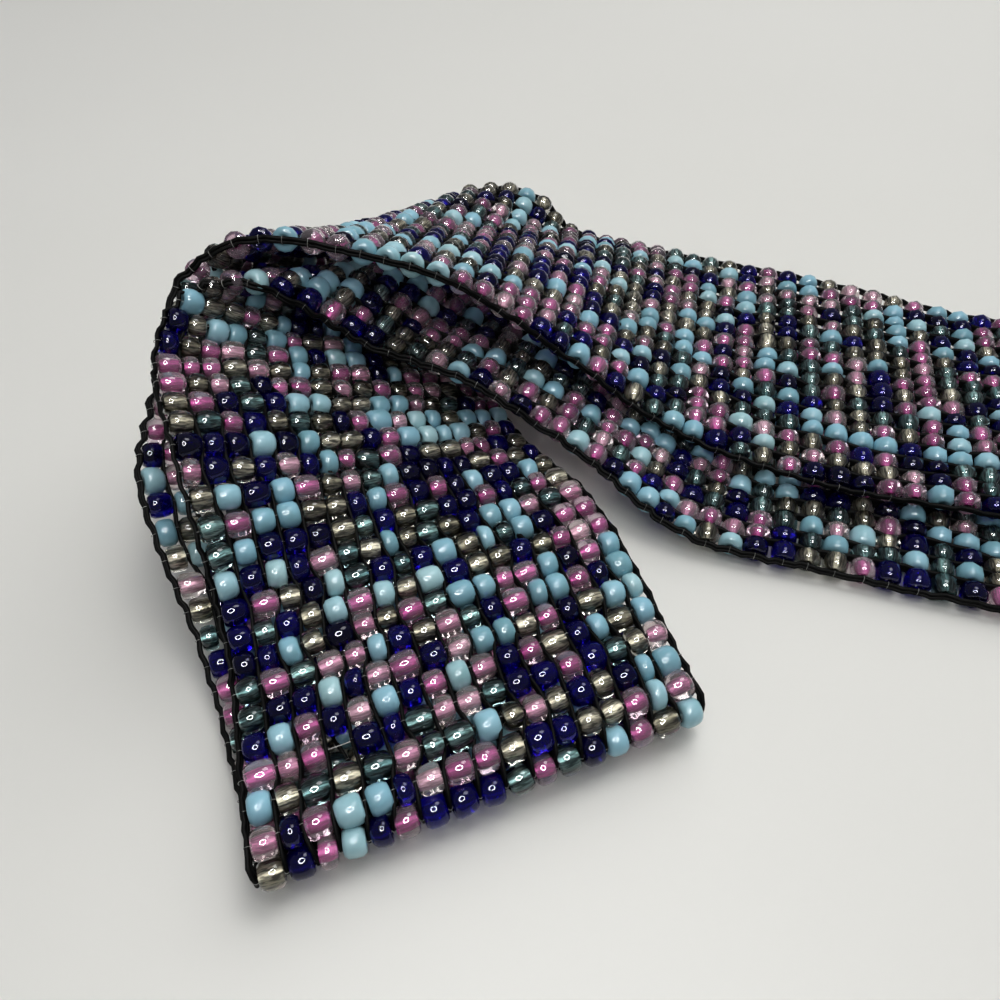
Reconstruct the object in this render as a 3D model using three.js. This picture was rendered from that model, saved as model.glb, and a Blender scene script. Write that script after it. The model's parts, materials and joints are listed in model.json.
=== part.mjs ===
// A loomed glass bead belt, doubled over at its near end and folded diagonally at the far left.
// Millimetres, +Z up. Each woven run is a ruled surface: straight lines lie across the band from its
// left edge to its right edge, square to the band where it is flat and slanting in the folds.
import * as THREE from "three";
import { mergeVertices } from "three/addons/utils/BufferGeometryUtils.js";

// Beads and cords
const bead_diameter = 4.2;
const columns = 17;
const column_pitch = 3.43;
const edge_cord_diameter = 1.1;
const edge_cord_gap = 0.3;

// The band
const band_thickness = bead_diameter;
const band_corner = 1.2;
const layer_clearance = 0.3;
const inner_run_length = 380;
const outer_run_length = 352;

// The free ends
const tab_length = 12;
const tab_corner = 3;
const tab_bevel = 0.8;
const clasp_width = 26;
const clasp_length = 12;
const clasp_thickness = 3.4;
const end_gap = 0.3;

// Worked out from the sizes above
const edge_to_edge = columns * column_pitch + 2 * edge_cord_gap + edge_cord_diameter;
const layer_step = band_thickness + layer_clearance;
const bend_radius = layer_step / 2;

// How finely the shapes are cut
const lines_per_row = 3;
const tail_lines = 4;
const bend_steps = 6;
const steps_across = 4;
const cord_sides = 6;
const corner_steps = 4;

// The straight lines across each run, in order from the near bend. at is where a line leaves the left
// edge, measured along it, and skew is how much farther along it meets the right edge. x and y are the
// places of its two ends on the table, all as shares of the band's width. up counts layers: 0 lies
// on the table and 1 lies on one layer.
const line_columns = ["at", "skew", "left_x", "left_y", "left_up", "right_x", "right_y", "right_up"];
const inner_lines = [
  [0, 0, -0.51, -1.06, 1, 0.46, -0.68, 1],
  [0.5, 0.07, -0.65, -0.6, 1.5, 0.27, -0.15, 1.45],
  [0.97, 0.1, -0.78, -0.26, 5.4, 0.02, 0.28, 0.6],
  [1.27, 0.53, -0.89, 0.01, 6.15, -0.16, 0.9, 1.35],
  [1.43, 0.73, -0.88, 0.16, 6.9, 0.06, 1.14, 2.65],
  [1.55, 0.83, -0.8, 0.24, 7.2, 0.25, 1.14, 1.65],
  [1.67, 0.87, -0.7, 0.27, 7.15, 0.38, 1.1, 1],
  [1.8, 0.87, -0.58, 0.29, 6.25, 0.5, 1.05, 0.6],
  [2.03, 0.77, -0.4, 0.28, 4.4, 0.62, 1, 0.35],
  [2.37, 0.57, -0.09, 0.15, 3.8, 0.74, 0.94, 0.2],
  [2.77, 0.33, 0.23, 0.02, 1.68, 0.84, 0.84, 0.05],
  [3.17, 0.15, 0.51, -0.19, 0.3, 0.97, 0.72, 0],
  [3.58, 0.03, 0.9, -0.31, 0.05, 1.23, 0.63, 0],
  [4.08, 0, 1.38, -0.45, 0, 1.67, 0.51, 0],
];
const outer_lines = [
  [0, 0, -0.51, -1.06, 0, 0.46, -0.68, 0],
  [0.5, 0.07, -0.715, -0.61, 0.5, 0.18, -0.16, 0.15],
  [0.97, 0.23, -0.91, -0.24, 3.65, -0.17, 0.43, 0.1],
  [1.27, 0.53, -0.91, 0.04, 5.05, -0.38, 1.02, 0.85],
  [1.43, 0.73, -0.92, 0.2, 5.95, -0.18, 1.24, 3.55],
  [1.55, 0.83, -0.89, 0.29, 6.9, 0.03, 1.25, 4.3],
  [1.67, 0.87, -0.8, 0.33, 7.75, 0.18, 1.22, 3.8],
  [1.8, 0.87, -0.68, 0.34, 8.3, 0.27, 1.19, 2.6],
  [2.03, 0.77, -0.45, 0.32, 8.1, 0.4, 1.18, 1.95],
  [2.37, 0.57, -0.13, 0.28, 7, 0.53, 1.18, 1.6],
  [2.77, 0.33, 0.19, 0.25, 4.05, 0.69, 1.15, 1.4],
  [3.17, 0.15, 0.52, 0.13, 1.55, 0.89, 1.07, 1.45],
  [3.58, 0.03, 0.9, -0.04, 1, 1.17, 0.96, 1.5],
  [4.08, 0, 1.38, -0.17, 1, 1.65, 0.79, 1],
];

// Turns a table row into named lengths in millimetres.
function read_line(row) {
  const share = Object.fromEntries(line_columns.map((name, i) => [name, row[i]]));
  const place = (x, y, up) =>
    new THREE.Vector3(x * edge_to_edge, y * edge_to_edge, band_thickness / 2 + up * layer_step);
  return {
    at: share.at * edge_to_edge,
    skew: share.skew * edge_to_edge,
    left: place(share.left_x, share.left_y, share.left_up),
    right: place(share.right_x, share.right_y, share.right_up),
  };
}

// Where a line lies along the run, measured on the band's middle.
const middle_of = (line) => line.at + line.skew / 2;

// The slope of one quantity at line i, from its neighbours.
function slope(lines, i, read) {
  const before = lines[Math.max(i - 1, 0)];
  const after = lines[Math.min(i + 1, lines.length - 1)];
  return read(after).clone().sub(read(before)).divideScalar(middle_of(after) - middle_of(before));
}

// A smooth curve through one end of every line, taken between lines i and i + 1 at share t.
function between(lines, i, t, read) {
  const step = middle_of(lines[i + 1]) - middle_of(lines[i]);
  const t2 = t * t;
  const t3 = t2 * t;
  return new THREE.Vector3()
    .addScaledVector(read(lines[i]), 2 * t3 - 3 * t2 + 1)
    .addScaledVector(slope(lines, i, read), (t3 - 2 * t2 + t) * step)
    .addScaledVector(read(lines[i + 1]), 3 * t2 - 2 * t3)
    .addScaledVector(slope(lines, i + 1, read), (t3 - t2) * step);
}

// The table's lines, more lines between them, and the straight stretch up to the free end.
function lines_of_run(table, run_length) {
  const lines = table.map(read_line);
  const run = [];
  for (let i = 0; i < lines.length - 1; i++) {
    for (let k = 0; k < lines_per_row; k++) {
      const t = k / lines_per_row;
      const left = between(lines, i, t, (line) => line.left);
      const right = between(lines, i, t, (line) => line.right);
      run.push({ left, right });
    }
  }
  const last = lines[lines.length - 1];
  const across = last.right.clone().sub(last.left);
  const heading = new THREE.Vector3(across.y, -across.x, 0).normalize();
  const tail = run_length - middle_of(last);
  for (let k = 0; k <= tail_lines; k++) {
    const step = heading.clone().multiplyScalar((tail * k) / tail_lines);
    run.push({ left: last.left.clone().add(step), right: last.right.clone().add(step) });
  }
  return { lines: run, heading };
}

// The near bend, from the lower run's first line round to the upper run's first line.
function bend_lines(lower, until) {
  const across = lower.right.clone().sub(lower.left).normalize();
  const outward = new THREE.Vector3(across.y, -across.x, 0);
  const bend = [];
  for (let k = 1; k <= bend_steps; k++) {
    const angle = (until * k) / bend_steps;
    const move = outward
      .clone()
      .multiplyScalar(bend_radius * Math.sin(angle))
      .add(new THREE.Vector3(0, 0, bend_radius * (1 - Math.cos(angle))));
    const inward = outward
      .clone()
      .multiplyScalar(-Math.sin(angle))
      .add(new THREE.Vector3(0, 0, Math.cos(angle)));
    bend.push({
      left: lower.left.clone().add(move),
      right: lower.right.clone().add(move),
      face: inward,
    });
  }
  return bend;
}

// The band's face normal at a share of the way across line i.
function face_normal(lines, i, share) {
  const point = (line) => line.left.clone().lerp(line.right, share);
  const before = point(lines[Math.max(i - 1, 0)]);
  const after = point(lines[Math.min(i + 1, lines.length - 1)]);
  const across = lines[i].right.clone().sub(lines[i].left);
  return across.cross(after.sub(before)).normalize();
}

// The band's section: distance from the left edge cord, and height off the middle of the band.
function band_section() {
  const side = edge_cord_diameter / 2 + edge_cord_gap;
  const near = side + band_corner;
  const far = edge_to_edge - near;
  const half = band_thickness / 2;
  const section = [[side, -half + band_corner], [side, half - band_corner]];
  for (let k = 0; k <= steps_across; k++) section.push([near + ((far - near) * k) / steps_across, half]);
  section.push([edge_to_edge - side, half - band_corner], [edge_to_edge - side, -half + band_corner]);
  for (let k = steps_across; k >= 0; k--) section.push([near + ((far - near) * k) / steps_across, -half]);
  return section;
}

// A closed solid through rings of equally many points, one ring after another.
function solid_through(rings) {
  const size = rings[0].length;
  const positions = rings.flat().flatMap((p) => [p.x, p.y, p.z]);
  const faces = [];
  for (let r = 0; r < rings.length - 1; r++) {
    for (let k = 0; k < size; k++) {
      const a = r * size + k;
      const b = r * size + ((k + 1) % size);
      faces.push(a, b, b + size, a, b + size, a + size);
    }
  }
  const last = (rings.length - 1) * size;
  for (let k = 1; k < size - 1; k++) {
    faces.push(0, k + 1, k, last, last + k, last + k + 1);
  }
  const geometry = new THREE.BufferGeometry();
  geometry.setAttribute("position", new THREE.Float32BufferAttribute(positions, 3));
  geometry.setIndex(faces);
  geometry.computeVertexNormals();
  return geometry;
}

// The woven band as one solid along its lines.
function band_geometry(lines) {
  const section = band_section();
  const rings = lines.map((line, i) =>
    section.map(([across, height]) => {
      const share = across / edge_to_edge;
      const normal = line.face ?? face_normal(lines, i, share);
      return line.left.clone().lerp(line.right, share).addScaledVector(normal, height);
    }),
  );
  return solid_through(rings);
}

// An edge cord along one end of every line.
function cord_geometry(lines, end) {
  const share = end === "left" ? 0 : 1;
  const points = lines.map((line) => line[end]);
  const rings = points.map((point, i) => {
    const before = points[Math.max(i - 1, 0)];
    const after = points[Math.min(i + 1, points.length - 1)];
    const along = after.clone().sub(before).normalize();
    const up = face_normal(lines, i, share);
    const side = up.clone().cross(along).normalize();
    const ring = [];
    for (let k = 0; k < cord_sides; k++) {
      const angle = (2 * Math.PI * k) / cord_sides;
      ring.push(
        point
          .clone()
          .addScaledVector(side, (edge_cord_diameter / 2) * Math.cos(angle))
          .addScaledVector(up, (edge_cord_diameter / 2) * Math.sin(angle)),
      );
    }
    return ring;
  });
  return solid_through(rings);
}

// A flat plate with rounded corners, centred on its own middle.
function plate_geometry(length, width, thickness, corner) {
  const x = length / 2 - tab_bevel;
  const y = width / 2 - tab_bevel;
  const outline = new THREE.Shape();
  outline.moveTo(-x + corner, -y);
  outline.lineTo(x - corner, -y);
  outline.absarc(x - corner, -y + corner, corner, -Math.PI / 2, 0);
  outline.lineTo(x, y - corner);
  outline.absarc(x - corner, y - corner, corner, 0, Math.PI / 2);
  outline.lineTo(-x + corner, y);
  outline.absarc(-x + corner, y - corner, corner, Math.PI / 2, Math.PI);
  outline.lineTo(-x, -y + corner);
  outline.absarc(-x + corner, -y + corner, corner, Math.PI, 1.5 * Math.PI);
  const plate = new THREE.ExtrudeGeometry(outline, {
    depth: thickness - 2 * tab_bevel,
    bevelEnabled: true,
    bevelThickness: tab_bevel,
    bevelSize: tab_bevel,
    bevelSegments: 1,
    curveSegments: corner_steps,
  });
  plate.translate(0, 0, tab_bevel - thickness / 2);
  plate.deleteAttribute("normal");
  plate.deleteAttribute("uv");
  const merged = mergeVertices(plate);
  merged.computeVertexNormals();
  return merged;
}

// Glass and cord colours
const glass = new THREE.MeshStandardMaterial({ color: 0x5f6f86, roughness: 0.25, metalness: 0 });
const cord = new THREE.MeshStandardMaterial({ color: 0x16191a, roughness: 0.7, metalness: 0 });
const leather = new THREE.MeshStandardMaterial({ color: 0x1b1a1a, roughness: 0.6, metalness: 0 });
const metal = new THREE.MeshStandardMaterial({ color: 0x8b8b8d, roughness: 0.35, metalness: 1 });

const belt = new THREE.Group();

function add(name, geometry, material) {
  const mesh = new THREE.Mesh(geometry, material);
  mesh.name = name;
  belt.add(mesh);
  return mesh;
}

const inner = lines_of_run(inner_lines, inner_run_length);
const outer = lines_of_run(outer_lines, outer_run_length);
const band_end = Math.PI - (2 * layer_clearance) / bend_radius;

add("inner_band", band_geometry(inner.lines), glass);
const outer_start = bend_lines(outer.lines[0], band_end).reverse();
add("outer_band", band_geometry([...outer_start, ...outer.lines]), glass);

const whole_bend = bend_lines(outer.lines[0], Math.PI).slice(0, -1);
const whole_band = [...outer.lines.slice().reverse(), ...whole_bend, ...inner.lines];
add("left_edge_cord", cord_geometry(whole_band, "left"), cord);
add("right_edge_cord", cord_geometry(whole_band, "right"), cord);

// Puts a plate in line with a run's end, its middle a distance beyond the band.
function beyond_end(mesh, run, distance, middle_height) {
  const end = run.lines[run.lines.length - 1];
  const middle = end.left.clone().lerp(end.right, 0.5).addScaledVector(run.heading, distance);
  mesh.position.set(middle.x, middle.y, middle.z + middle_height);
  mesh.rotation.z = Math.atan2(run.heading.y, run.heading.x);
}

const tab_width = edge_to_edge + edge_cord_diameter;
const tab = () => plate_geometry(tab_length, tab_width, band_thickness, tab_corner);
const tab_distance = end_gap + tab_length / 2;
beyond_end(add("inner_end_tab", tab(), leather), inner, tab_distance, 0);
beyond_end(add("outer_end_tab", tab(), leather), outer, tab_distance, 0);

const clasp_distance = tab_distance + tab_length / 2 + end_gap + clasp_length / 2;
const clasp = plate_geometry(clasp_length, clasp_width, clasp_thickness, tab_corner);
const clasp_drop = (clasp_thickness - band_thickness) / 2;
beyond_end(add("clasp", clasp, metal), inner, clasp_distance, clasp_drop);

// The origin is on the table, under the middle of the belt.
const extent = new THREE.Box3().setFromObject(belt, true);
const centre = extent.getCenter(new THREE.Vector3());
belt.position.set(-centre.x, -centre.y, -extent.min.z);

export default belt;
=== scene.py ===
import json
import math

import bpy
import numpy as np
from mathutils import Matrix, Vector

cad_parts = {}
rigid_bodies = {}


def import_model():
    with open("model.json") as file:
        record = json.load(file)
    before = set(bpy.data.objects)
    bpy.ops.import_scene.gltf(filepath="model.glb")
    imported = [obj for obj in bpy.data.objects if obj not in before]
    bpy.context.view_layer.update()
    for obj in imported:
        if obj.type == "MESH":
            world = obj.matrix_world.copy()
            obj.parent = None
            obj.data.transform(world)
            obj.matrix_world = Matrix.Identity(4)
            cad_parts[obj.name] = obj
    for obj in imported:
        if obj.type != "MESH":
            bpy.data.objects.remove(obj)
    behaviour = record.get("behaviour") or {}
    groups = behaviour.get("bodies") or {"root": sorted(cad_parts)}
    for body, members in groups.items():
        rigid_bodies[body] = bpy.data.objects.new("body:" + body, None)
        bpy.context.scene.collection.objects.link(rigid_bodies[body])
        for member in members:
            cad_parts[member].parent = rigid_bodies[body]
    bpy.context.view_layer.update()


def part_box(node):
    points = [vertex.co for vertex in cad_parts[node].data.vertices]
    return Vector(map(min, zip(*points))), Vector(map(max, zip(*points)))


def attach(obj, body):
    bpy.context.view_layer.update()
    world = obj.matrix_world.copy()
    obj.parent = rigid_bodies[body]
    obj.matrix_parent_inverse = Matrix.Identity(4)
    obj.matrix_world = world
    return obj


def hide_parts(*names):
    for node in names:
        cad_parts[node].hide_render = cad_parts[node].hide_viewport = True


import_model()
rng = np.random.default_rng(17)

# Sizes in millimetres, as in the solid model
BEAD = 4.2
COLUMNS = 17
PITCH = 3.43
EDGE_CORD = 1.1
EDGE_GAP = 0.3
LAYER_GAP = 0.3
STEP = BEAD + LAYER_GAP
BEND_RADIUS = STEP / 2
BEND_LENGTH = math.pi * BEND_RADIUS
WIDTH = COLUMNS * PITCH + 2 * EDGE_GAP + EDGE_CORD
FIRST_END = EDGE_CORD / 2 + EDGE_GAP
INNER_LENGTH = 380
OUTER_LENGTH = 352
TAB_GAP = 0.3
TAB_LENGTH = 12

# Sizes in millimetres of what only this script builds
CORD = 0.4
ROW = 4.2
FIRST_ROW = -3.3
ROW_MARGIN = 2.4
INTO_TAB = 1.6
SHOWN_LENGTH = 228

# The straight lines across each run, from the near bend on: where a line leaves the left edge, how
# much farther along it meets the right edge, and its left and right ends. Lengths and places are
# shares of the width, and heights are in layers.
INNER_LINES = [
    [0, 0, -0.51, -1.06, 1, 0.46, -0.68, 1],
    [0.5, 0.07, -0.65, -0.6, 1.5, 0.27, -0.15, 1.45],
    [0.97, 0.1, -0.78, -0.26, 5.4, 0.02, 0.28, 0.6],
    [1.27, 0.53, -0.89, 0.01, 6.15, -0.16, 0.9, 1.35],
    [1.43, 0.73, -0.88, 0.16, 6.9, 0.06, 1.14, 2.65],
    [1.55, 0.83, -0.8, 0.24, 7.2, 0.25, 1.14, 1.65],
    [1.67, 0.87, -0.7, 0.27, 7.15, 0.38, 1.1, 1],
    [1.8, 0.87, -0.58, 0.29, 6.25, 0.5, 1.05, 0.6],
    [2.03, 0.77, -0.4, 0.28, 4.4, 0.62, 1, 0.35],
    [2.37, 0.57, -0.09, 0.15, 3.8, 0.74, 0.94, 0.2],
    [2.77, 0.33, 0.23, 0.02, 1.68, 0.84, 0.84, 0.05],
    [3.17, 0.15, 0.51, -0.19, 0.3, 0.97, 0.72, 0],
    [3.58, 0.03, 0.9, -0.31, 0.05, 1.23, 0.63, 0],
    [4.08, 0, 1.38, -0.45, 0, 1.67, 0.51, 0],
]
OUTER_LINES = [
    [0, 0, -0.51, -1.06, 0, 0.46, -0.68, 0],
    [0.5, 0.07, -0.715, -0.61, 0.5, 0.18, -0.16, 0.15],
    [0.97, 0.23, -0.91, -0.24, 3.65, -0.17, 0.43, 0.1],
    [1.27, 0.53, -0.91, 0.04, 5.05, -0.38, 1.02, 0.85],
    [1.43, 0.73, -0.92, 0.2, 5.95, -0.18, 1.24, 3.55],
    [1.55, 0.83, -0.89, 0.29, 6.9, 0.03, 1.25, 4.3],
    [1.67, 0.87, -0.8, 0.33, 7.75, 0.18, 1.22, 3.8],
    [1.8, 0.87, -0.68, 0.34, 8.3, 0.27, 1.19, 2.6],
    [2.03, 0.77, -0.45, 0.32, 8.1, 0.4, 1.18, 1.95],
    [2.37, 0.57, -0.13, 0.28, 7, 0.53, 1.18, 1.6],
    [2.77, 0.33, 0.19, 0.25, 4.05, 0.69, 1.15, 1.4],
    [3.17, 0.15, 0.52, 0.13, 1.55, 0.89, 1.07, 1.45],
    [3.58, 0.03, 0.9, -0.04, 1, 1.17, 0.96, 1.5],
    [4.08, 0, 1.38, -0.17, 1, 1.65, 0.79, 1],
]

SAMPLES = 1200


class Run:
    """One run of the band, a ruled surface through the lines of its table and straight after them."""

    def __init__(self, lines):
        table = np.array(lines, float)
        self.at, self.skew = table[:, 0] * WIDTH, table[:, 1] * WIDTH
        self.left, self.right = self.place(table[:, 2:5]), self.place(table[:, 5:8])
        self.middle = self.at + self.skew / 2
        across = self.right[-1] - self.left[-1]
        self.heading = np.array([across[1], -across[0], 0]) / math.hypot(across[0], across[1])

    def place(self, shares):
        return np.column_stack([shares[:, :2] * WIDTH, BEAD / 2 + shares[:, 2] * STEP])

    def weights(self, along):
        """How much each line counts at these distances along the middle, on a smooth curve."""
        lines = self.middle
        i = np.clip(np.searchsorted(lines, along, side="right") - 1, 0, len(lines) - 2)
        gap = lines[i + 1] - lines[i]
        t = (along - lines[i]) / gap
        made = np.zeros((len(along), len(lines)))
        every = np.arange(len(along))
        made[every, i] += 2 * t**3 - 3 * t**2 + 1
        made[every, i + 1] += 3 * t**2 - 2 * t**3
        for share, line in ((t**3 - 2 * t**2 + t, i), (t**3 - t**2, i + 1)):
            before = np.maximum(line - 1, 0)
            after = np.minimum(line + 1, len(lines) - 1)
            slope = share * gap / (lines[after] - lines[before])
            made[every, after] += slope
            made[every, before] -= slope
        return made

    def points(self, length, share):
        """Places at these lengths along the band, at these shares of the way across."""
        steps = np.linspace(self.middle[0], self.middle[-1], SAMPLES)
        weights = self.weights(steps)
        at, skew = weights @ self.at, weights @ self.skew
        along = np.empty(len(length))
        for mark in np.unique(share):
            here = share == mark
            along[here] = np.interp(length[here], at + mark * skew, steps)
        weights = self.weights(along)
        left, right = weights @ self.left, weights @ self.right
        beyond = np.maximum(length - self.middle[-1], 0)
        return left + (right - left) * share[:, None] + beyond[:, None] * self.heading


inner = Run(INNER_LINES)
outer = Run(OUTER_LINES)


def band_points(length, share):
    """Places on the whole band: above 0 on the inner run, then the near bend, then the outer run."""
    length, share = np.broadcast_arrays(np.asarray(length, float), np.asarray(share, float))
    flat, across = length.ravel(), np.round(share.ravel(), 3)
    made = np.empty((len(flat), 3))
    on_inner, on_outer = flat >= 0, flat <= -BEND_LENGTH
    on_bend = ~(on_inner | on_outer)
    if on_inner.any():
        made[on_inner] = inner.points(flat[on_inner], across[on_inner])
    if on_outer.any():
        made[on_outer] = outer.points(-flat[on_outer] - BEND_LENGTH, across[on_outer])
    if on_bend.any():
        left, right = outer.left[0], outer.right[0]
        span = (right - left) / np.linalg.norm(right - left)
        out = np.array([span[1], -span[0], 0])
        angle = (-flat[on_bend] / BEND_LENGTH) * math.pi
        base = left + (right - left) * across[on_bend][:, None]
        made[on_bend] = base + BEND_RADIUS * (
            np.sin(angle)[:, None] * out + (1 + np.cos(angle))[:, None] * np.array([0, 0, 1.0])
        )
    return made.reshape(*length.shape, 3)


def unit(v):
    return v / np.maximum(np.linalg.norm(v, axis=-1, keepdims=True), 1e-9)


SHARE_STEP = 0.02
LENGTH_STEP = 1.2


def band_frames(length, share):
    """Places on the band with the directions across it, along it and out of its face."""
    place = band_points(length, share)
    across = unit(band_points(length, share + SHARE_STEP) - band_points(length, share - SHARE_STEP))
    along = band_points(length + LENGTH_STEP, share) - band_points(length - LENGTH_STEP, share)
    face = unit(np.cross(across, along))
    return place, across, unit(np.cross(face, across)), face


# From these millimetres to the frame: the middle of the inner end tab is known in both
tab_low, tab_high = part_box("inner_end_tab")
tab_middle = band_points(np.array([INNER_LENGTH + TAB_GAP + TAB_LENGTH / 2]), np.array([0.5]))[0]
shift = np.array((tab_low + tab_high) / 2) * 1000 - tab_middle


def to_frame(points):
    return (points + shift) / 1000


# Materials
def material(name):
    made = bpy.data.materials.new(name)
    made.use_nodes = True
    made.node_tree.nodes.clear()
    return made, made.node_tree.nodes, made.node_tree.links


def srgb(r, g, b):
    """A colour given as it looks on screen, 0 to 255."""
    def linear(v):
        v /= 255
        return v / 12.92 if v <= 0.04045 else ((v + 0.055) / 1.055) ** 2.4

    return (linear(r), linear(g), linear(b), 1)


def surface(nodes, links, **sockets):
    shader = nodes.new("ShaderNodeBsdfPrincipled")
    for name, value in sockets.items():
        shader.inputs[name.replace("_", " ")].default_value = value
    output = nodes.new("ShaderNodeOutputMaterial")
    links.new(shader.outputs[0], output.inputs[0])
    return shader, output


def tone_ramp(nodes, links, stops):
    """Colours along each bead's own tone, a number from 0 to 1."""
    tone = nodes.new("ShaderNodeAttribute")
    tone.attribute_name = "tone"
    ramp = nodes.new("ShaderNodeValToRGB")
    links.new(tone.outputs["Fac"], ramp.inputs[0])
    while len(ramp.color_ramp.elements) < len(stops):
        ramp.color_ramp.elements.new(0.5)
    for element, (position, colour) in zip(ramp.color_ramp.elements, stops):
        element.position = position
        element.color = colour
    return ramp


def noise(nodes, links, scale, detail=2.0, stretch=(1, 1, 1)):
    where = nodes.new("ShaderNodeTexCoord")
    mapping = nodes.new("ShaderNodeMapping")
    mapping.inputs["Scale"].default_value = stretch
    links.new(where.outputs["Object"], mapping.inputs[0])
    made = nodes.new("ShaderNodeTexNoise")
    made.inputs["Scale"].default_value = scale
    made.inputs["Detail"].default_value = detail
    links.new(mapping.outputs[0], made.inputs["Vector"])
    return made


def bump(nodes, links, height, strength, distance, shader):
    made = nodes.new("ShaderNodeBump")
    made.inputs["Strength"].default_value = strength
    made.inputs["Distance"].default_value = distance
    links.new(height, made.inputs["Height"])
    links.new(made.outputs[0], shader.inputs["Normal"])
    return made


def opaque_glass(name, stops):
    """Solid coloured glass with greyer stains."""
    made, nodes, links = material(name)
    shader, _ = surface(nodes, links, Roughness=0.45, Coat_Weight=0.7, Coat_Roughness=0.03)
    shader.inputs["Specular IOR Level"].default_value = 0.25
    stain = noise(nodes, links, 260, 2.0)
    spread = nodes.new("ShaderNodeMapRange")
    spread.inputs["From Min"].default_value = 0.5
    spread.inputs["From Max"].default_value = 0.8
    spread.inputs["To Max"].default_value = 0.55
    links.new(stain.outputs[0], spread.inputs[0])
    mix = nodes.new("ShaderNodeMix")
    mix.data_type = "RGBA"
    mix.inputs[7].default_value = srgb(104, 150, 152)
    links.new(spread.outputs[0], mix.inputs[0])
    links.new(tone_ramp(nodes, links, stops).outputs[0], mix.inputs[6])
    links.new(mix.outputs[2], shader.inputs["Base Color"])
    return made


def clear_glass(name, stops, clear=1.0, shade=0.25, coat=0.5):
    """Glass that light comes through, so that what lines the hole is lit."""
    made, nodes, links = material(name)
    shader, output = surface(nodes, links, Roughness=0.03, IOR=1.5, Transmission_Weight=clear)
    shader.inputs["Coat Weight"].default_value = coat
    shader.inputs["Coat IOR"].default_value = 1.7
    shader.inputs["Coat Roughness"].default_value = 0.02
    ramp = tone_ramp(nodes, links, stops)
    links.new(ramp.outputs[0], shader.inputs["Base Color"])
    path = nodes.new("ShaderNodeLightPath")
    through = nodes.new("ShaderNodeBsdfTransparent")
    through.inputs[0].default_value = (shade, shade, shade, 1)
    mix = nodes.new("ShaderNodeMixShader")
    links.new(path.outputs["Is Shadow Ray"], mix.inputs[0])
    links.new(shader.outputs[0], mix.inputs[1])
    links.new(through.outputs[0], mix.inputs[2])
    links.new(mix.outputs[0], output.inputs[0])
    return made


def lining(name, stops, metallic, roughness, streaks):
    """What lines a bead's hole: paint or foil, with streaks that run along the bead."""
    made, nodes, links = material(name)
    shader, _ = surface(nodes, links, Roughness=roughness, Metallic=metallic)
    ramp = tone_ramp(nodes, links, stops)
    where = nodes.new("ShaderNodeAttribute")
    where.attribute_name = "around"
    lines = nodes.new("ShaderNodeTexNoise")
    lines.inputs["Scale"].default_value = 4.2
    lines.inputs["Detail"].default_value = 4.0
    links.new(where.outputs["Vector"], lines.inputs["Vector"])
    sharp = nodes.new("ShaderNodeMapRange")
    sharp.inputs["From Min"].default_value = 0.42
    sharp.inputs["From Max"].default_value = 0.58
    sharp.inputs["To Min"].default_value = 1 - streaks
    sharp.inputs["To Max"].default_value = 1.0
    links.new(lines.outputs[0], sharp.inputs[0])
    mix = nodes.new("ShaderNodeMix")
    mix.data_type = "RGBA"
    mix.blend_type = "MULTIPLY"
    mix.inputs[0].default_value = 1.0
    links.new(ramp.outputs[0], mix.inputs[6])
    links.new(sharp.outputs[0], mix.inputs[7])
    links.new(mix.outputs[2], shader.inputs["Base Color"])
    bump(nodes, links, lines.outputs[0], streaks * 0.25, 0.0002, shader)
    return made


# The linings' sections, as shares of half the bead's length and of its radius
PAINT = [(-0.74, 0.26), (-0.62, 0.35), (0, 0.385), (0.62, 0.35), (0.74, 0.26)]
FOIL = [(-0.84, 0.4), (-0.5, 0.5), (0.5, 0.5), (0.84, 0.4)]

# Each kind of bead: its share, its glass, the lining of its hole and that lining's section
turquoise = [(0, srgb(126, 168, 180)), (0.5, srgb(144, 188, 204)), (1, srgb(170, 204, 208))]
KINDS = {
    "turquoise": (0.19, opaque_glass("turquoise_glass", turquoise), None, None),
    "magenta": (
        0.19,
        clear_glass("clear_glass", [(0, srgb(222, 196, 210)), (1, srgb(240, 226, 232))], 0.88),
        lining("magenta_lining", [(0, srgb(136, 18, 106)), (1, srgb(188, 88, 154))], 0.4, 0.34, 0.4),
        PAINT,
    ),
    "blush": (
        0.09,
        clear_glass("blush_glass", [(0, srgb(222, 206, 208)), (1, srgb(236, 228, 226))], 0.88),
        lining("blush_lining", [(0, srgb(176, 104, 150)), (1, srgb(216, 176, 194))], 0.35, 0.34, 0.45),
        PAINT,
    ),
    "smoke": (
        0.19,
        clear_glass("smoke_glass", [(0, srgb(190, 188, 176)), (1, srgb(222, 220, 212))]),
        lining("smoke_lining", [(0, srgb(132, 128, 115)), (1, srgb(194, 190, 176))], 0.75, 0.28, 0.75),
        FOIL,
    ),
    "teal": (
        0.13,
        clear_glass("teal_glass", [(0, srgb(120, 146, 148)), (1, srgb(156, 178, 176))]),
        lining("teal_lining", [(0, srgb(114, 134, 134)), (1, srgb(172, 190, 188))], 0.75, 0.28, 0.75),
        FOIL,
    ),
    "cobalt": (
        0.21,
        clear_glass("cobalt_glass", [(0, srgb(8, 3, 70)), (1, srgb(22, 11, 140))], 0.8, 0.1, 0.0),
        None,
        None,
    ),
}


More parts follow.
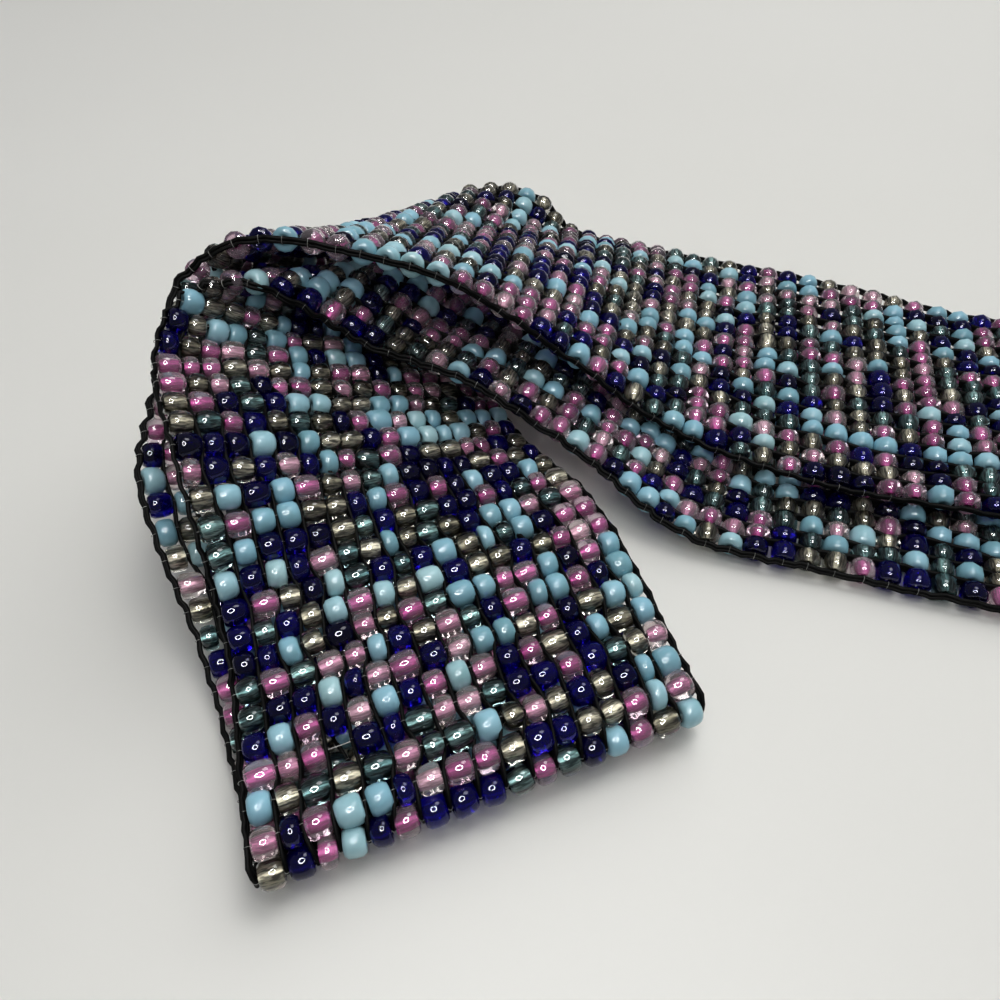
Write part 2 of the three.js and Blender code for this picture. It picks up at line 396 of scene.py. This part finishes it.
def mesh_piece(name, points, faces, made_of, stands_for, values=None, smooth=True):
    """One piece of the belt, from points in millimetres, with values kept at its points."""
    mesh = bpy.data.meshes.new(name)
    faces = np.asarray(faces, np.int32)
    sides = faces.shape[1]
    mesh.vertices.add(len(points))
    mesh.vertices.foreach_set("co", to_frame(points).astype(np.float32).ravel())
    mesh.loops.add(faces.size)
    mesh.loops.foreach_set("vertex_index", faces.ravel())
    mesh.polygons.add(len(faces))
    mesh.polygons.foreach_set("loop_start", np.arange(0, faces.size, sides, dtype=np.int32))
    mesh.update(calc_edges=True)
    mesh.validate()
    if smooth:
        mesh.polygons.foreach_set("use_smooth", np.ones(len(mesh.polygons), bool))
    for key, value in (values or {}).items():
        kind, field = ("FLOAT", "value") if value.ndim == 1 else ("FLOAT_VECTOR", "vector")
        kept = mesh.attributes.new(key, kind, "POINT")
        kept.data.foreach_set(field, value.astype(np.float32).ravel())
    piece = bpy.data.objects.new(name, mesh)
    bpy.context.scene.collection.objects.link(piece)
    mesh.materials.append(made_of)
    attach(piece, "root")
    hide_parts(*stands_for)
    return piece


# Where every row goes: its number and the length along the band at which it lies
first_row = math.ceil((-BEND_LENGTH - OUTER_LENGTH + ROW_MARGIN - FIRST_ROW) / ROW)
last_row = math.floor((INNER_LENGTH - ROW_MARGIN - FIRST_ROW) / ROW)
row_numbers = np.arange(first_row, last_row + 1)
row_lengths = row_numbers * ROW + FIRST_ROW
rows = len(row_numbers)
every_bead = (rows, COLUMNS)
shown = (row_lengths < SHOWN_LENGTH) & (row_lengths > -BEND_LENGTH - SHOWN_LENGTH)

# The beads' own lengths, with a few short ones, made to fill the width between the edge cords
MEAN_LENGTH, LENGTH_SPREAD = 3.0, 0.36
SHORTEST, LONGEST = 2.1, 3.9
SHORT_SHARE, SHORT_LENGTH = 0.05, 2.2
SPARE_ROOM = 0.2
lengths = np.clip(rng.normal(MEAN_LENGTH, LENGTH_SPREAD, every_bead), SHORTEST, LONGEST)
lengths[rng.random(every_bead) < SHORT_SHARE] = SHORT_LENGTH
room = COLUMNS * PITCH - (COLUMNS - 1) * CORD - SPARE_ROOM
lengths *= (room / lengths.sum(1))[:, None]

# Each bead lies between its place in the row and its column's middle, and leaves room for the cords
PUSHED = 0.85
NARROWEST_GAP = 0.8 * CORD
ends = np.cumsum(lengths + CORD, axis=1) - CORD
in_order = FIRST_END + SPARE_ROOM / 2 + ends - lengths / 2
in_column = FIRST_END + (np.arange(COLUMNS) + 0.5) * PITCH
centres = in_column + PUSHED * (in_order - in_column)
left_ends, right_ends = centres - lengths / 2, centres + lengths / 2
tight = np.maximum(NARROWEST_GAP - (left_ends[:, 1:] - right_ends[:, :-1]), 0)
left_ends[:, 1:] += tight / 2
right_ends[:, :-1] -= tight / 2
centres, lengths = (left_ends + right_ends) / 2, right_ends - left_ends

# The beads' diameters, kinds and tones, and the one bead that is missing
MEAN_DIAMETER, DIAMETER_SPREAD = 4.14, 0.14
THINNEST, THICKEST = 3.8, 4.35
MISSING_ROW, MISSING_COLUMN = 3, 3
diameters = np.clip(rng.normal(MEAN_DIAMETER, DIAMETER_SPREAD, every_bead), THINNEST, THICKEST)
names = list(KINDS)
shares = np.array([KINDS[name][0] for name in names])
kinds = rng.choice(len(names), every_bead, p=shares / shares.sum())
tones = rng.random(every_bead)
missing_row = MISSING_ROW - first_row
present = np.ones(every_bead, bool)
present[missing_row, MISSING_COLUMN] = False

# The beads' places, a little out of line, and their own directions, a little tilted
ALONG_SPREAD, FACE_SPREAD, TILT_SPREAD = 0.1, 0.07, 0.045
along_jitter = rng.normal(0, ALONG_SPREAD, every_bead)
face_jitter = rng.normal(0, FACE_SPREAD, every_bead)
bead_length = row_lengths[:, None] + along_jitter
bead_share = np.round(centres / WIDTH, 3)
place, across, along, face = band_frames(bead_length, bead_share)
place = place + face * face_jitter[..., None]
tilt = rng.normal(0, TILT_SPREAD, (*every_bead, 2))
across = unit(across + along * tilt[..., :1] + face * tilt[..., 1:])
face = unit(np.cross(across, along))
along = np.cross(face, across)

# The bead's section, as shares of half its length and of its radius, round to the hole's wall
HOLE = 0.31
FINE = [
    (-0.9, HOLE), (-1, 0.5), (-0.93, 0.78), (-0.6, 0.96), (0, 1),
    (0.6, 0.96), (0.93, 0.78), (1, 0.5), (0.9, HOLE),
]
COARSE = [(-0.95, HOLE), (-0.97, 0.7), (-0.5, 0.97), (0.5, 0.97), (0.97, 0.7), (0.95, HOLE)]
FINE_SIDES, COARSE_SIDES, LINING_SIDES = 12, 8, 10

# How far a bead's shape strays: thicker at one end, out of round, and cut at a slant
TAPER, OVAL, SLANT = 0.05, 0.018, 0.09
# The lining's streaks are long: they change this much slower along the bead than round it
STREAK_LENGTHWISE, STREAK_OFFSET = 0.3, 9


def turned(chosen, profile, sides, closed):
    """Every chosen bead turned from one section, as points, four-sided faces and streak places."""
    r, c = chosen
    count, rings = len(r), len(profile)
    half, radius = lengths[r, c] / 2, diameters[r, c] / 2
    shape = np.array(profile)
    at, out = shape[None, :, :1], shape[None, :, 1:]
    angle = np.arange(sides) * 2 * math.pi / sides
    bent = rng.normal(0, 1, (count, 4))[..., None, None]
    swell = 1 + TAPER * bent[:, 0] * at + OVAL * bent[:, 1] * np.cos(2 * angle)[None, None]
    outwards = radius[:, None, None] * out * swell
    slant = SLANT * (bent[:, 2] * np.cos(angle) + bent[:, 3] * np.sin(angle))
    lengthwise = half[:, None, None] * at + slant * out * np.abs(at)
    x, y, z = across[r, c], along[r, c], face[r, c]
    points = (
        place[r, c][:, None, None]
        + lengthwise[..., None] * x[:, None, None]
        + (outwards * np.cos(angle))[..., None] * y[:, None, None]
        + (outwards * np.sin(angle))[..., None] * z[:, None, None]
    )
    ring = np.arange(rings if closed else rings - 1)
    side = np.arange(sides)
    a = ring[:, None] * sides + side[None]
    b = ring[:, None] * sides + (side[None] + 1) % sides
    after = (ring[:, None] + 1) % rings * sides
    quads = np.stack([a, b, after + (side[None] + 1) % sides, after + side[None]], -1).reshape(-1, 4)
    faces = (np.arange(count)[:, None, None] * rings * sides + quads[None]).reshape(-1, 4)
    if closed:
        return points.reshape(-1, 3), faces, None
    parts = (at * STREAK_LENGTHWISE, np.cos(angle), np.sin(angle))
    around = np.stack([np.broadcast_to(part, outwards.shape) for part in parts], -1)
    around = around + STREAK_OFFSET * rng.random((count, 1, 1, 3))
    return points.reshape(-1, 3), faces, around.reshape(-1, 3)


BANDS = ("inner_band", "outer_band")
for number, name in enumerate(names):
    _, glass, lined, lining_profile = KINDS[name]
    ours = (kinds == number) & present
    for label, rows_here, profile, sides in (
        ("near", shown, FINE, FINE_SIDES),
        ("far", ~shown, COARSE, COARSE_SIDES),
    ):
        chosen = np.nonzero(ours & rows_here[:, None])
        points, faces, _ = turned(chosen, profile, sides, True)
        tone = np.repeat(tones[chosen], len(profile) * sides)
        mesh_piece(f"{name}_beads_{label}", points, faces, glass, BANDS, {"tone": tone})
        if not lined:
            continue
        points, faces, around = turned(chosen, lining_profile, LINING_SIDES, False)
        tone = np.repeat(tones[chosen], len(lining_profile) * LINING_SIDES)
        values = {"tone": tone, "around": around}
        smooth = lining_profile is PAINT
        mesh_piece(f"{name}_linings_{label}", points, faces, lined, BANDS, values, smooth)


def circle(radius, sides):
    angle = np.arange(sides) * 2 * math.pi / sides
    return radius * np.column_stack([np.cos(angle), np.sin(angle)])


def tubes(paths, section, facing):
    """Strands of one section along paths of equally many points, with a direction out of the band."""
    count, steps, _ = paths.shape
    sides = len(section)
    section = np.asarray(section, float)
    along_path = np.gradient(paths, axis=1)
    side = unit(np.cross(along_path, facing))
    up = unit(np.cross(side, along_path))
    points = paths[:, :, None] + section[:, :1] * side[:, :, None] + section[:, 1:] * up[:, :, None]
    ring, corner = np.arange(steps - 1), np.arange(sides)
    a = ring[:, None] * sides + corner[None]
    b = ring[:, None] * sides + (corner[None] + 1) % sides
    quads = np.stack([a, b, b + sides, a + sides], -1).reshape(-1, 4)
    faces = (np.arange(count)[:, None, None] * steps * sides + quads[None]).reshape(-1, 4)
    return points.reshape(-1, 3), faces


def cord_material():
    made, nodes, links = material("waxed_cord")
    shader, _ = surface(nodes, links, Roughness=0.6, Specular_IOR_Level=0.12)
    speck = noise(nodes, links, 900, 3.0)
    ramp = nodes.new("ShaderNodeValToRGB")
    ramp.color_ramp.elements[0].color = srgb(4, 4, 4)
    ramp.color_ramp.elements[1].color = srgb(20, 20, 18)
    ramp.color_ramp.elements[0].position = 0.35
    ramp.color_ramp.elements[1].position = 0.75
    links.new(speck.outputs[0], ramp.inputs[0])
    links.new(ramp.outputs[0], shader.inputs["Base Color"])
    bump(nodes, links, speck.outputs[0], 0.5, 0.0002, shader)
    return made


def thread_material():
    made, nodes, links = material("clear_thread")
    shader, _ = surface(nodes, links, Roughness=0.2, IOR=1.5, Transmission_Weight=0.35)
    cloud = noise(nodes, links, 400, 1.0)
    ramp = nodes.new("ShaderNodeValToRGB")
    ramp.color_ramp.elements[0].color = srgb(150, 150, 146)
    ramp.color_ramp.elements[1].color = srgb(200, 200, 194)
    links.new(cloud.outputs[0], ramp.inputs[0])
    links.new(ramp.outputs[0], shader.inputs["Base Color"])
    return made


waxed = cord_material()
nylon = thread_material()

# The cords between the columns are pressed flat by the beads' ends, and stand on edge. They pass
# every row and half way to the next, and run on past the last rows, into the end tabs.
PRESSED = [
    (0.24, 0), (0.26, 0.55), (0.15, 0.85), (-0.15, 0.85), (-0.26, 0.55),
    (-0.24, 0), (-0.26, -0.55), (-0.15, -0.85), (0.15, -0.85), (0.26, -0.55),
]
LIFT_SPREAD = 0.16
GAPS = COLUMNS - 1
low_end, high_end = -BEND_LENGTH - OUTER_LENGTH - INTO_TAB, INNER_LENGTH + INTO_TAB
gap_places = (right_ends[:, :-1] + left_ends[:, 1:]) / 2
half_way = (gap_places[1:] + gap_places[:-1]) / 2
cord_share = np.empty((2 * rows - 1, GAPS))
cord_share[0::2], cord_share[1::2] = gap_places / WIDTH, half_way / WIDTH
cord_share = np.round(np.concatenate([cord_share[:1], cord_share, cord_share[-1:]]), 3)
cord_length = np.empty(2 * rows - 1)
cord_length[0::2], cord_length[1::2] = row_lengths, (row_lengths[1:] + row_lengths[:-1]) / 2
cord_length = np.concatenate([[low_end], cord_length, [high_end]])
paths, _, _, cord_face = band_frames(np.repeat(cord_length[:, None], GAPS, 1), cord_share)
lift = rng.normal(0, LIFT_SPREAD, cord_share.shape)
paths = paths + cord_face * lift[..., None]
points, faces = tubes(paths.transpose(1, 0, 2), PRESSED, cord_face.transpose(1, 0, 2))
mesh_piece("inner_cords", points, faces, waxed, BANDS)

# Two cords one over the other along each edge, over the ends of the last beads. The thread pulls
# them in at every row, and they bulge between the rows.
# Each edge: its node, its share of the way across, the sign of its outward side and its column
EDGES = (("left_edge_cord", 0.0, -1, 0), ("right_edge_cord", 1.0, 1, COLUMNS - 1))
STRAND_RADIUS, STRAND_SIDES = 0.32, 7
STRAND_OUT, STRAND_UP = 0.1, 0.3
PAST_BEAD, INSIDE_EDGE = 0.36, 0.5
FLAT_REACH = 1.1
BULGE = [0.08, 0, 0.08, 0.3]
SWAY_SPREAD = 0.05


def along_edge(first, at_rows, last, reach=0):
    """Values just before each row, at it, just after it and half way to the next, and at both ends."""
    before, after = at_rows - reach, at_rows + reach
    half_way = (after + np.roll(before, -1, 0)) / 2
    inside = np.stack([before, at_rows, after, half_way], 1).reshape(-1, 3)
    return np.concatenate([first, inside[:-1], last])


def edge_rows(outward, column):
    """Where the edge cords pass each row, and the directions out of the edge and out of the face."""
    out = across[:, column] * outward
    at_rows = place[:, column] + out * (lengths[:, column] / 2 + PAST_BEAD)[:, None]
    return at_rows, out, face[:, column]


for name, share, outward, column in EDGES:
    at_rows, out_at_rows, up_at_rows = edge_rows(outward, column)
    low, low_out, _, low_up = band_frames(np.array([low_end]), np.array([share]))
    high, high_out, _, high_up = band_frames(np.array([high_end]), np.array([share]))
    low_out, high_out = low_out * outward, high_out * outward
    low, high = low - low_out * INSIDE_EDGE, high - high_out * INSIDE_EDGE
    middle = along_edge(low, at_rows, high, along[:, column] * FLAT_REACH)
    out = unit(along_edge(low_out, out_at_rows, high_out))
    up = unit(along_edge(low_up, up_at_rows, high_up))
    bulge = np.concatenate([[0], np.tile(BULGE, rows)[:-1], [0]])
    sway = rng.normal(0, SWAY_SPREAD, len(bulge))
    strands = []
    for strand in (-1, 1):
        off, lifted = strand * STRAND_OUT + bulge + sway, strand * STRAND_UP + sway
        strands.append(middle + out * off[:, None] + up * lifted[:, None])
    points, faces = tubes(np.array(strands), circle(STRAND_RADIUS, STRAND_SIDES), np.array([up, up]))
    mesh_piece(name + "_strands", points, faces, waxed, (name,))

# The clear thread shows where it crosses a cord, on both faces of the band
CROSSING_RADIUS, THREAD_SIDES = 0.055, 3
INTO_BEAD = 0.3
BESIDE_ROW = 0.25
CROSSING_HEIGHTS = [0.3, 0.8, 0.93, 0.8, 0.3]
crossings, crossing_faces = [], []
r, gap = np.nonzero(np.repeat(shown[:, None], GAPS, 1))
start, end = right_ends[r, gap], left_ends[r, gap + 1]
stops = [start - INTO_BEAD, start, (start + end) / 2, end, end + INTO_BEAD]
for side in (1, -1):
    line = []
    for stop, height in zip(stops, CROSSING_HEIGHTS):
        where, _, _, up = band_frames(row_lengths[r] + side * BESIDE_ROW, np.round(stop / WIDTH, 3))
        line.append(where + up * (side * height))
    crossings.append(np.stack(line, 1))
    crossing_faces.append(np.repeat(up[:, None], len(stops), 1))
section = circle(CROSSING_RADIUS, THREAD_SIDES)
points, faces = tubes(np.concatenate(crossings), section, np.concatenate(crossing_faces))
mesh_piece("crossing_threads", points, faces, nylon, BANDS)

# The thread's turns round the edge cords, a little clear of them, and open towards the beads
TURN_RADIUS = 0.06
TURN_OUT, TURN_UP = STRAND_OUT + STRAND_RADIUS + 0.08, STRAND_UP + STRAND_RADIUS + 0.07
turn_angles = np.linspace(-2.2, 2.2, 9)
turns, turn_faces = [], []
for _, _, outward, column in EDGES:
    where, out, up = (values[shown] for values in edge_rows(outward, column))
    line = [
        where + out * (TURN_OUT * math.cos(a)) + up * (TURN_UP * math.sin(a)) for a in turn_angles
    ]
    turns.append(np.stack(line, 1))
    turn_faces.append(np.repeat(np.cross(out, up)[:, None], len(turn_angles), 1))
section = circle(TURN_RADIUS, THREAD_SIDES)
points, faces = tubes(np.concatenate(turns), section, np.concatenate(turn_faces))
mesh_piece("edge_threads", points, faces, nylon, BANDS)

# The bare thread where one bead is missing
BARE_RADIUS, BARE_SIDES, BARE_STEPS = 0.09, 6, 8
BARE_INTO_BEAD, BARE_HEIGHT = 0.4, 0.7
bare_start = right_ends[missing_row, MISSING_COLUMN - 1] - BARE_INTO_BEAD
bare_end = left_ends[missing_row, MISSING_COLUMN + 1] + BARE_INTO_BEAD
bare_share = np.round(np.linspace(bare_start, bare_end, BARE_STEPS) / WIDTH, 3)
where, _, _, up = band_frames(np.full(BARE_STEPS, row_lengths[missing_row]), bare_share)
line = where + up * BARE_HEIGHT
points, faces = tubes(line[None], circle(BARE_RADIUS, BARE_SIDES), up[None])
mesh_piece("bare_thread", points, faces, nylon, BANDS)


# The end tabs and the clasp keep their solids and get finished materials
def leather():
    made, nodes, links = material("tab_leather")
    shader, _ = surface(nodes, links, Roughness=0.55)
    grain = noise(nodes, links, 500, 5.0)
    ramp = nodes.new("ShaderNodeValToRGB")
    ramp.color_ramp.elements[0].color = srgb(20, 18, 17)
    ramp.color_ramp.elements[1].color = srgb(52, 47, 44)
    links.new(grain.outputs[0], ramp.inputs[0])
    links.new(ramp.outputs[0], shader.inputs["Base Color"])
    bump(nodes, links, grain.outputs[0], 0.4, 0.0004, shader)
    return made


def brushed_metal():
    made, nodes, links = material("clasp_metal")
    shader, _ = surface(nodes, links, Metallic=1.0)
    brush = noise(nodes, links, 300, 3.0, (1, 14, 1))
    ramp = nodes.new("ShaderNodeValToRGB")
    ramp.color_ramp.elements[0].color = srgb(138, 138, 140)
    ramp.color_ramp.elements[1].color = srgb(186, 186, 188)
    links.new(brush.outputs[0], ramp.inputs[0])
    links.new(ramp.outputs[0], shader.inputs["Base Color"])
    rough = nodes.new("ShaderNodeMapRange")
    rough.inputs["To Min"].default_value = 0.25
    rough.inputs["To Max"].default_value = 0.45
    links.new(brush.outputs[0], rough.inputs[0])
    links.new(rough.outputs[0], shader.inputs["Roughness"])
    bump(nodes, links, brush.outputs[0], 0.2, 0.0002, shader)
    return made


hide, steel = leather(), brushed_metal()
for name, made_of in (("inner_end_tab", hide), ("outer_end_tab", hide), ("clasp", steel)):
    for kept in bpy.data.objects[name].material_slots:
        kept.material = made_of


# Floor, lights and camera, in metres
FLOOR_SIZE = 12


def floor():
    made, nodes, links = material("table_top")
    shader, _ = surface(nodes, links, Roughness=0.55)
    mottle = noise(nodes, links, 3, 2.0)
    ramp = nodes.new("ShaderNodeValToRGB")
    ramp.color_ramp.elements[0].color = srgb(213, 212, 206)
    ramp.color_ramp.elements[1].color = srgb(222, 221, 216)
    links.new(mottle.outputs[0], ramp.inputs[0])
    links.new(ramp.outputs[0], shader.inputs["Base Color"])
    bpy.ops.mesh.primitive_plane_add(size=FLOOR_SIZE, location=(0, 0, 0))
    plane = bpy.context.object
    plane.name = "table_top"
    plane.data.materials.append(made)


floor()
aim = Vector(to_frame(np.zeros((1, 3)))[0])


def aimed(made, place):
    """Puts a lamp or the camera at a place seen from the aim, and turns it there."""
    made.location = aim + Vector(place)
    made.rotation_euler = (-Vector(place)).to_track_quat("-Z", "Y").to_euler()
    bpy.context.scene.collection.objects.link(made)
    return made


def lamp(name, place, size, power):
    data = bpy.data.lights.new(name, "AREA")
    data.shape = "DISK"
    data.size = size
    data.energy = power
    return aimed(bpy.data.objects.new(name, data), place)


RING_STEPS = 40


def ring_lamp(name, place, outer_radius, inner_radius, strength, lights_all=True):
    """A ring-shaped lamp over the belt, which every bead mirrors as a small ring."""
    points, faces = [], []
    for k in range(RING_STEPS):
        a = 2 * math.pi * k / RING_STEPS
        points += [
            (radius * math.cos(a), radius * math.sin(a), 0) for radius in (outer_radius, inner_radius)
        ]
        n = 2 * ((k + 1) % RING_STEPS)
        faces.append((2 * k, 2 * k + 1, n + 1, n))
    mesh = bpy.data.meshes.new(name)
    mesh.from_pydata(points, [], faces)
    made, nodes, links = material(name)
    glow = nodes.new("ShaderNodeEmission")
    glow.inputs["Strength"].default_value = strength
    output = nodes.new("ShaderNodeOutputMaterial")
    links.new(glow.outputs[0], output.inputs[0])
    mesh.materials.append(made)
    ring = aimed(bpy.data.objects.new(name, mesh), place)
    ring.visible_camera = False
    ring.visible_diffuse = lights_all


lamp("soft_top", (0.2, 0.3, 0.8), 0.35, 1.2)
lamp("soft_back", (0.45, 0.9, 1.0), 1.7, 12.5).visible_glossy = False
ring_lamp("ring_lamp", (0.0, -0.12, 0.4), 0.12, 0.105, 17.0)
ring_lamp("glint_ring", (0.0, -0.14, 0.38), 0.115, 0.097, 55.0, lights_all=False)

world = bpy.data.worlds.new("studio")
world.use_nodes = True
sky = world.node_tree.nodes["Background"]
sky.inputs["Color"].default_value = (0.93, 0.95, 1.0, 1)
sky.inputs["Strength"].default_value = 0.2
bpy.context.scene.world = world
bpy.context.scene.view_settings.view_transform = "Standard"
bpy.context.scene.view_settings.look = "Medium High Contrast"

# The camera's focal length as a share of the picture's width, its elevation and its distance
FOCAL = 0.78
SENSOR = 36
ELEVATION = math.radians(47.73)
DISTANCE = 0.1405
camera_data = bpy.data.cameras.new("camera")
camera_data.sensor_width = SENSOR
camera_data.lens = SENSOR * FOCAL
camera_data.clip_start, camera_data.clip_end = 0.005, 50
seat = (0, -DISTANCE * math.cos(ELEVATION), DISTANCE * math.sin(ELEVATION))
bpy.context.scene.camera = aimed(bpy.data.objects.new("camera", camera_data), seat)
